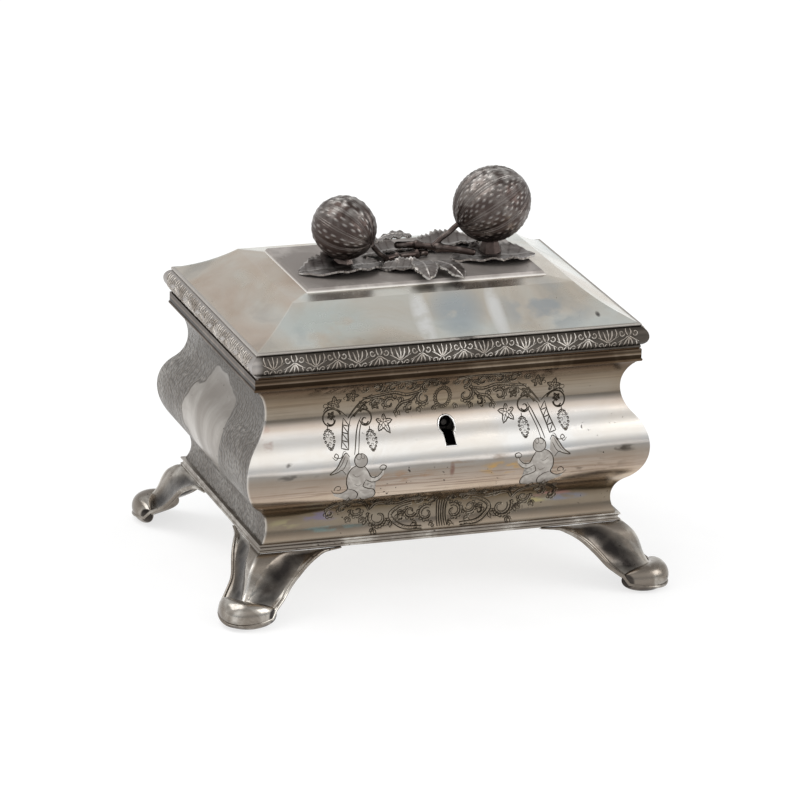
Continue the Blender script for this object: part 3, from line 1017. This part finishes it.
def foot_leg():
    bm = bmesh.new()
    bmesh.ops.create_grid(bm, x_segments=72, y_segments=56, size=1)
    hollow = []
    bm.verts.ensure_lookup_table()
    for vert in bm.verts:
        share, side = (1 - vert.co.y) / 2, vert.co.x
        side = math.copysign(abs(side) ** 1.0, side)
        sunk = flute(share, abs(side)) * FLUTE_DEPTH * min(1, share * 9 + 0.15) * (1 - max(0, share - 0.82) * 3.5)
        hollow.append((min(1.0, max(0.0, sunk / FLUTE_DEPTH)), max(0.0, 1 - abs(side) / 0.05) * min(1, share * 3)))
        rib = max(0.0, 1 - abs(side) / 0.045) * 0.25 * min(1, share * 4)
        vert.co = from_corner(foot_place(share, side, sunk - rib))
    bmesh.ops.recalc_face_normals(bm, faces=bm.faces)
    middle = bm.faces[len(bm.faces) // 2]
    if middle.normal.dot(Vector((1, -1, 0))) < 0:
        bmesh.ops.reverse_faces(bm, faces=bm.faces)
    layer, worn = bm.verts.layers.float.new("hollow"), bm.verts.layers.float.new("worn")
    for vert, value in zip(bm.verts, hollow):
        vert[layer], vert[worn] = value
    inner = bmesh.ops.extrude_face_region(bm, geom=list(bm.faces))["geom"]
    inner = [item for item in inner if isinstance(item, bmesh.types.BMVert)]
    bmesh.ops.translate(bm, verts=inner, vec=Vector((-0.6, 0.6, -0.5)) * FOOT_SHEET * MM)
    bmesh.ops.recalc_face_normals(bm, faces=bm.faces)
    return bm


def foot_toe():
    bm = bmesh.new()
    bmesh.ops.create_uvsphere(bm, u_segments=40, v_segments=36, radius=1)
    layer = bm.verts.layers.float.new("hollow")
    for vert in bm.verts:
        spot = vert.co.copy()
        aside = spot.z
        girth = max(1e-4, 1 - abs(aside) ** 2.6) ** 0.5
        ring = Vector((spot.x, spot.y))
        ring = ring.normalized() if ring.length > 1e-6 else Vector((0, 0))
        radius = TOE_RADIUS * (0.25 + 0.75 * girth) * (girth > 0.02)
        out = TOE_OUT - 6.2 * aside * aside + ring.x * radius
        level = TOE_UP - 0.4 * aside * aside + ring.y * radius
        vert[layer] = 1.0 if abs(aside) > 0.95 else 0.0
        vert.co = from_corner(Vector((out, TOE_HALF * aside, max(0.02, level))))
    bmesh.ops.recalc_face_normals(bm, faces=bm.faces)
    return bm


def foot_rim():
    """The bead along the arch, which runs on round the front of the toe."""
    line = [foot_place(share / 30, 1.0) for share in range(30)]
    wrap = []
    for number in range(17):
        aside = 0.98 - 1.96 * number / 16
        wrap.append(Vector((TOE_OUT - 6.0 * aside * aside + 4.2 * (1 - abs(aside) ** 2.6) ** 0.5, TOE_HALF * aside, 1.9 + 1.6 * aside * aside)))
    other = [Vector((point.x, -point.y, point.z)) for point in reversed(line)]
    path_line = bpy.data.curves.new("rim", "CURVE")
    path_line.dimensions = "3D"
    path_line.bevel_depth = EDGE_BEAD * MM
    path_line.bevel_resolution = 2
    path_line.use_fill_caps = True
    spline = path_line.splines.new("POLY")
    whole = line + wrap + other
    spline.points.add(len(whole) - 1)
    for point, spot in zip(spline.points, whole):
        co = from_corner(spot)
        point.co = (co.x, co.y, max(co.z, EDGE_BEAD * MM), 1)
        point.radius = 0.85
    holder = bpy.data.objects.new("rim", path_line)
    bpy.context.scene.collection.objects.link(holder)
    bpy.context.view_layer.update()
    mesh = bpy.data.meshes.new_from_object(holder.evaluated_get(bpy.context.evaluated_depsgraph_get()))
    bpy.data.objects.remove(holder)
    return mesh


whole_foot = foot_leg()
for piece in (foot_toe(),):
    side_mesh = bpy.data.meshes.new("toe")
    piece.to_mesh(side_mesh)
    piece.free()
    whole_foot.from_mesh(side_mesh)
whole_foot.from_mesh(foot_rim())
top = BASE - 0.02 * MM
for vert in whole_foot.verts:
    vert.co.z = min(vert.co.z, top)
foot_mesh = bpy.data.meshes.new("foot")
whole_foot.to_mesh(foot_mesh)
whole_foot.free()
for name, node, flip_x, flip_y in (
    ("front_right_leg", "front_right_foot", 1, 1), ("front_left_leg", "front_left_foot", -1, 1),
    ("rear_right_leg", "rear_right_foot", 1, -1), ("rear_left_leg", "rear_left_foot", -1, -1),
):
    bm = bmesh.new()
    bm.from_mesh(foot_mesh)
    bmesh.ops.scale(bm, verts=bm.verts, vec=(flip_x, flip_y, 1))
    if flip_x * flip_y < 0:
        bmesh.ops.reverse_faces(bm, faces=bm.faces)
    soften(bm, 50)
    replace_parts(to_object(bm, name, foot_silver, "box"), node)

# The finial: two melons cast in halves, ribbed and set with small beads, on leaves and twigs. They
# were left dark, and their high points have been rubbed bright.
TABLE_TOP = BASE + 86.8 * MM


def rubbed(tree, colour, height):
    """Bright where the surface stands out, dark where it is hollow."""
    proud = add_node(tree, "ShaderNodeAttribute", attribute_name="proud").outputs["Fac"]
    where = add_node(tree, "ShaderNodeTexCoord").outputs["Object"]
    wear = add_node(tree, "ShaderNodeTexNoise", {"Vector": where, "Scale": 220.0, "Detail": 4.0}).outputs["Fac"]
    share = math_node(tree, "MULTIPLY", proud, math_node(tree, "ADD", wear, 0.5), clamp=True)
    tooth = add_node(tree, "ShaderNodeTexNoise", {"Vector": where, "Scale": 900.0, "Detail": 3.0}).outputs["Fac"]
    return mix(tree, share, colour, (0.50, 0.475, 0.45)), math_node(tree, "ADD", height, math_node(tree, "MULTIPLY", tooth, 0.12))


finial_silver = silver("oxidised_finial_silver", (0.20, 0.175, 0.16), (0.075, 0.056, 0.05), 90, 0.6, 0.5, 0.24, 0.25, relief=rubbed)
RIBS = 10


def melon_bump(turn, share, rows, beads):
    """Height and brightness of a melon's surface, at a turn round it and a share from stem to nose."""
    gore = (turn / (2 * math.pi) * RIBS) % 1.0
    from_rib = min(gore, 1 - gore)
    belly = math.sin(math.pi * share)
    swell = math.sin(math.pi * gore) * 0.035
    rib = 0.022 * math.exp(-((from_rib - 0.055) / 0.028) ** 2) - 0.03 * math.exp(-(from_rib / 0.02) ** 2) - 0.02 * math.exp(-((from_rib - 0.115) / 0.02) ** 2)
    bead = 0.0
    for row in range(rows):
        number = share * beads + 0.5 * (row % 2)
        down = (number % 1.0 - 0.5) * 1.35
        aside = (gore - (row + 1.6) / (rows + 2.2)) * 2.4 * (rows + 0.6) * (0.35 + 0.65 * belly)
        reach = math.sqrt(down * down + aside * aside)
        bead = max(bead, max(0.0, 1 - (reach / 0.45) ** 2) * (0.12 < share < 0.9))
    proud = min(1.0, 0.55 * bead + 9 * max(0.0, rib))
    return swell + rib * min(1, belly * 2.5) + 0.021 * bead, proud * 0.9


def melon(name, node, middle, radius, half, heading, climb, rows, beads):
    bm = bmesh.new()
    bmesh.ops.create_uvsphere(bm, u_segments=260, v_segments=110, radius=1)
    layer = bm.verts.layers.float.new("proud")
    turn = Matrix.Rotation(math.radians(heading), 3, "Z") @ Matrix.Rotation(math.radians(-climb), 3, "Y") @ Matrix.Rotation(math.radians(90), 3, "Y")
    for vert in bm.verts:
        share = math.acos(max(-1, min(1, vert.co.z))) / math.pi
        bump, proud = melon_bump(math.atan2(vert.co.y, vert.co.x), share, rows, beads)
        across = radius * (0.955 + bump) * MM
        point = Vector((vert.co.x * across, vert.co.y * across, vert.co.z * half * (0.985 + bump * 0.3) * MM))
        vert.co = turn @ point + middle
        upward = max(0.0, (vert.co.z - middle.z) / (radius * MM))
        rub = max(0.0, 0.5 + 1.6 * noise.noise(vert.co * 420)) * upward ** 3
        vert[layer] = min(1.0, proud + 0.9 * rub)
    soften(bm, 60)
    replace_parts(to_object(bm, name, finial_silver, "lid"), node)


melon("large_ribbed_melon", "large_melon", Vector((32 * MM, 0, TABLE_TOP + 18.1 * MM)), 13.2, 14.3, 0, 32, 3, 14)
melon("small_ribbed_melon", "small_melon", Vector((-22.6 * MM, 0, TABLE_TOP + 13.3 * MM)), 11.3, 11.6, -48, -20, 2, 10)

LEAF_PLACES = {
    "left_leaf": (-25.8, -6.0, 0, 32, 24, 8, 0, 28), "right_leaf": (31, -5.5, 0, 31, 21, -4, 0, 26), "centre_leaf": (-3.2, -10.8, 0, 20, 12, -8, 0, 12),
    "front_left_leaf": (0.8, -18.5, 3.2, 18, 9, -94, 0, 17), "front_right_leaf": (9.5, -18.5, 2.6, 19, 8.5, -72, 0, 17),
    "back_right_leaf": (19, 11.5, 0, 30, 17, 8, 0, 14), "back_left_leaf": (-7, 8.0, 0, 25, 16, 14, 0, 12), "curled_leaf": (-1.5, 8.5, 6.0, 13, 8, 160, 12, 12),
}
DROOPING = ("front_left_leaf", "front_right_leaf", "curled_leaf")


def leaf(name, along, aback, lift, long, wide, turn, tilt, bend, seed):
    """A cast leaf: cut in teeth round its edge, veined, and bent as it lies."""
    bm = bmesh.new()
    bmesh.ops.create_grid(bm, x_segments=64, y_segments=28, size=1)
    layer = bm.verts.layers.float.new("proud")
    spin = Matrix.Rotation(math.radians(turn), 3, "Z") @ Matrix.Rotation(math.radians(tilt), 3, "Y")
    drooping = name in DROOPING
    for vert in bm.verts:
        u, v = vert.co.x, vert.co.y
        outline = max(0.004, 1 - abs(u) ** 2.2) ** 0.75 * (1 + 0.18 * u)
        teeth = 1 - 0.13 * abs(((u * 7.5 + 0.4 * abs(v)) % 1.0) - 0.5) * 2
        x, y = u * long / 2, v * wide / 2 * outline * (teeth if abs(v) > 0.8 else 1)
        vein = math.exp(-((v) / 0.06) ** 2)
        side_vein = math.exp(-((((u * 4.2 - abs(v) * 0.9) % 1.0) - 0.5) / 0.09) ** 2) * (1 - 0.5 * abs(v))
        fold = 0.0 if drooping else y * y / (2 * bend) * 1.1
        droop = -x * x / (2 * bend) if drooping else 0.0
        ripple = 0.35 * noise.noise(Vector((x * 0.22 + seed, y * 0.3, seed))) + 0.4 * abs(v) ** 3 * math.sin(u * 13 + seed + 2 * (v > 0))
        level = fold + droop + ripple * 0.8 + 0.9 + 0.22 * vein - 0.12 * side_vein
        edge = max(0.0, abs(v) - 0.86) / 0.14
        vert[layer] = min(1.0, 0.85 * edge + 0.8 * vein + 0.25 * (1 - side_vein))
        vert.co = spin @ Vector((x, y, level)) * MM + Vector((along * MM, aback * MM, TABLE_TOP + lift * MM))
    under = bmesh.ops.extrude_face_region(bm, geom=list(bm.faces))["geom"]
    under = [item for item in under if isinstance(item, bmesh.types.BMVert)]
    bmesh.ops.translate(bm, verts=under, vec=(0, 0, -0.7 * MM))
    bmesh.ops.recalc_face_normals(bm, faces=bm.faces)
    lowest = TABLE_TOP + 0.05 * MM
    for vert in bm.verts:
        on_table = abs(vert.co.x) < 43.5 * MM and abs(vert.co.y) < 24.5 * MM
        if on_table and vert.co.z < lowest:
            vert.co.z = lowest
    soften(bm, 50)
    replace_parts(to_object(bm, name.replace("_leaf", "_veined_leaf"), finial_silver, "lid"), name)


for seed, (name, numbers) in enumerate(LEAF_PLACES.items()):
    leaf(name, *numbers, seed * 3.7)

# The twigs and the stems: crooked rods with knots on them and slanting cut ends.
def twig(name, node, points, radius, knots):
    line = bpy.data.curves.new(name, "CURVE")
    line.dimensions = "3D"
    line.bevel_depth = radius * MM
    line.bevel_resolution = 4
    line.use_fill_caps = True
    spline = line.splines.new("POLY")
    steps = 44
    spline.points.add(steps)
    count = len(points) - 1
    for number, point in enumerate(spline.points):
        share = number / steps
        place = share * count
        low = min(int(place), count - 1)
        spot = Vector(points[low]).lerp(Vector(points[low + 1]), place - low)
        sway = 0.35 * noise.noise(Vector((share * 4.0, radius, 1.0)))
        point.co = ((spot.x) * MM, (spot.y + sway) * MM, (spot.z + sway * 0.6) * MM, 1)
        knot = sum(0.5 * math.exp(-((share - middle) / 0.035) ** 2) for middle in knots)
        point.radius = 0.92 + 0.12 * noise.noise(Vector((share * 11, 3.0, radius))) + knot
    for place in (0, -1):
        spline.points[place].radius *= 0.55
    holder = bpy.data.objects.new(name, line)
    bpy.context.scene.collection.objects.link(holder)
    bpy.context.view_layer.update()
    mesh = bpy.data.meshes.new_from_object(holder.evaluated_get(bpy.context.evaluated_depsgraph_get()))
    bpy.data.objects.remove(holder)
    bm = bmesh.new()
    bm.from_mesh(mesh)
    soften(bm, 50)
    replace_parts(to_object(bm, name, finial_silver, "lid"), node)


def flared_collar(name, node, along, low, high, foot, head, sides=8):
    """A faceted collar, drawn in from its foot up to the melon."""
    bm = bmesh.new()
    bmesh.ops.create_cone(bm, cap_ends=True, segments=sides, radius1=foot * MM, radius2=head * MM, depth=(high - low) * MM)
    bmesh.ops.translate(bm, verts=bm.verts, vec=(along * MM, 0, (low + high) / 2 * MM))
    bmesh.ops.bevel(bm, geom=list(bm.edges), offset=0.18 * MM, affect="EDGES", segments=1, profile=0.5, material=-1)
    soften(bm, 20)
    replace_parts(to_object(bm, name, finial_silver, "lid"), node)


flared_collar("large_flared_collar", "large_melon_collar", 32, 109.3, 114.6, 4.7, 2.9)
flared_collar("small_flared_collar", "small_melon_collar", -22.6, 109.3, 111.9, 4.4, 3.2)
twig("main_branch", "main_twig", [(-1.4, 7.2, 112.6), (6, 3.4, 113.0), (16, -2.6, 112.8), (23.8, -7.2, 112.2)], 1.45, (0.32, 0.55))
twig("small_branch", "small_twig", [(-8.3, -1.8, 110.6), (0.5, 0.1, 110.8), (9.3, 1.8, 110.6)], 1.25, (0.3, 0.75))
twig("large_melon_stalk", "large_melon_stem", [(10.2, 0.4, 113.1), (14.4, 0.3, 116.6), (20.5, 0.1, 121.2)], 1.05, (0.0, 1.0))
twig("small_melon_stalk", "small_melon_stem", [(-6.9, -1.5, 110.6), (-10.4, -4.4, 113.2), (-15.4, -7.6, 118.6)], 1.05, (0.0, 1.0))

# The remaining pieces of the frame take their own silver, iron or steel as they are.
def border_wear(tree, colour):
    """The border is cleaner on its left side, and black round the tear in the front edge."""
    where = add_node(tree, "ShaderNodeTexCoord").outputs["Object"]
    along = add_node(tree, "ShaderNodeSeparateXYZ", {"Vector": where}).outputs["X"]
    left = add_node(tree, "ShaderNodeMapRange", {"Value": along, "From Min": -68 * MM, "From Max": -70.5 * MM}).outputs[0]
    colour = mix(tree, math_node(tree, "MULTIPLY", left, 0.55), colour, (0.62, 0.58, 0.55))
    high = add_node(tree, "ShaderNodeSeparateXYZ", {"Vector": where}).outputs["Z"]
    high = add_node(tree, "ShaderNodeMapRange", {"Value": high, "From Min": 95.5 * MM, "From Max": 96.0 * MM}).outputs[0]
    colour = mix(tree, math_node(tree, "MULTIPLY", high, 0.6), colour, (0.62, 0.58, 0.53))
    return stain(tree, colour, (6, 72.5), (10, 2.2), (0.02, 0.017, 0.015), 0.95, (200, 200, 500), 0.6)


border_silver = silver("stamped_border_silver", (0.15, 0.135, 0.12), (0.075, 0.065, 0.055), 60, 0.6, 0.5, 0.28, 0.1, tint=border_wear)
RIM_TONES = [
    (60, (0.42, 0.36, 0.29)), (60.9, (0.30, 0.24, 0.18)), (61.2, (0.07, 0.055, 0.04)), (62.4, (0.10, 0.08, 0.06)), (62.7, (0.85, 0.80, 0.74)),
    (63.0, (0.36, 0.31, 0.25)), (63.6, (0.12, 0.10, 0.08)), (64.2, (0.30, 0.26, 0.22)),
]


def rim_lines(tree, colour):
    """Its members are black in the hollows and bright on the fillet."""
    return height_tones(tree, colour, RIM_TONES, 0.5)


rim_silver = silver("rim_silver", (0.52, 0.46, 0.39), (0.24, 0.19, 0.15), 40, 0.6, 0.5, 0.24, 0.08, tint=rim_lines)


def bright_rim(tree, colour):
    """The table's raised edge is worn bright."""
    where = add_node(tree, "ShaderNodeTexCoord").outputs["Object"]
    part = add_node(tree, "ShaderNodeSeparateXYZ", {"Vector": where})
    aside = math_node(tree, "SUBTRACT", math_node(tree, "ABSOLUTE", part.outputs["X"]), 43.75 * MM)
    along = math_node(tree, "SUBTRACT", math_node(tree, "ABSOLUTE", part.outputs["Y"]), 24.75 * MM)
    out = math_node(tree, "MAXIMUM", aside, along)
    worn = add_node(tree, "ShaderNodeMapRange", {"Value": out, "From Min": -0.3 * MM, "From Max": 0.1 * MM}).outputs[0]
    return mix(tree, worn, colour, (0.85, 0.82, 0.78))


table_silver = silver("lid_table_silver", (0.54, 0.50, 0.47), (0.32, 0.29, 0.27), 40, 0.6, 0.4, 0.5, 0.3, tint=bright_rim)
moulding_silver = silver("moulding_silver", (0.62, 0.59, 0.54), (0.24, 0.21, 0.18), 60, 0.65, 0.6, 0.2, 0.08)
inner_silver = silver("inner_silver", (0.74, 0.71, 0.66), (0.50, 0.45, 0.38), 30, 0.5, 0.4, 0.34, 0.1)
lock_iron = silver("lock_iron", (0.07, 0.065, 0.06), (0.035, 0.03, 0.025), 120, 0.5, 0.6, 0.6, 0.2)
spring_steel = silver("spring_steel", (0.20, 0.22, 0.27), (0.12, 0.12, 0.14), 80, 0.4, 0.4, 0.3, 0.05)
by_slot = {
    "chased_front": front_silver, "chased_side": side_silver, "lid_silver": lid_silver,
    "stamped_border": border_silver, "table_silver": table_silver, "moulding_silver": moulding_silver,
    "cast_feet": foot_silver, "lock_iron": lock_iron, "spring_steel": spring_steel,
    "hinge_silver": moulding_silver, "inner_silver": inner_silver, "fastener_silver": inner_silver,
    "cast_finial": finial_silver,
}
for entry in frame["record"]["subparts"]:
    mesh = frame["nodes"][entry["node"]].data
    mesh.materials.clear()
    mesh.materials.append(rim_silver if entry["node"] == "rim_moulding" else by_slot[entry["material_slot"]])
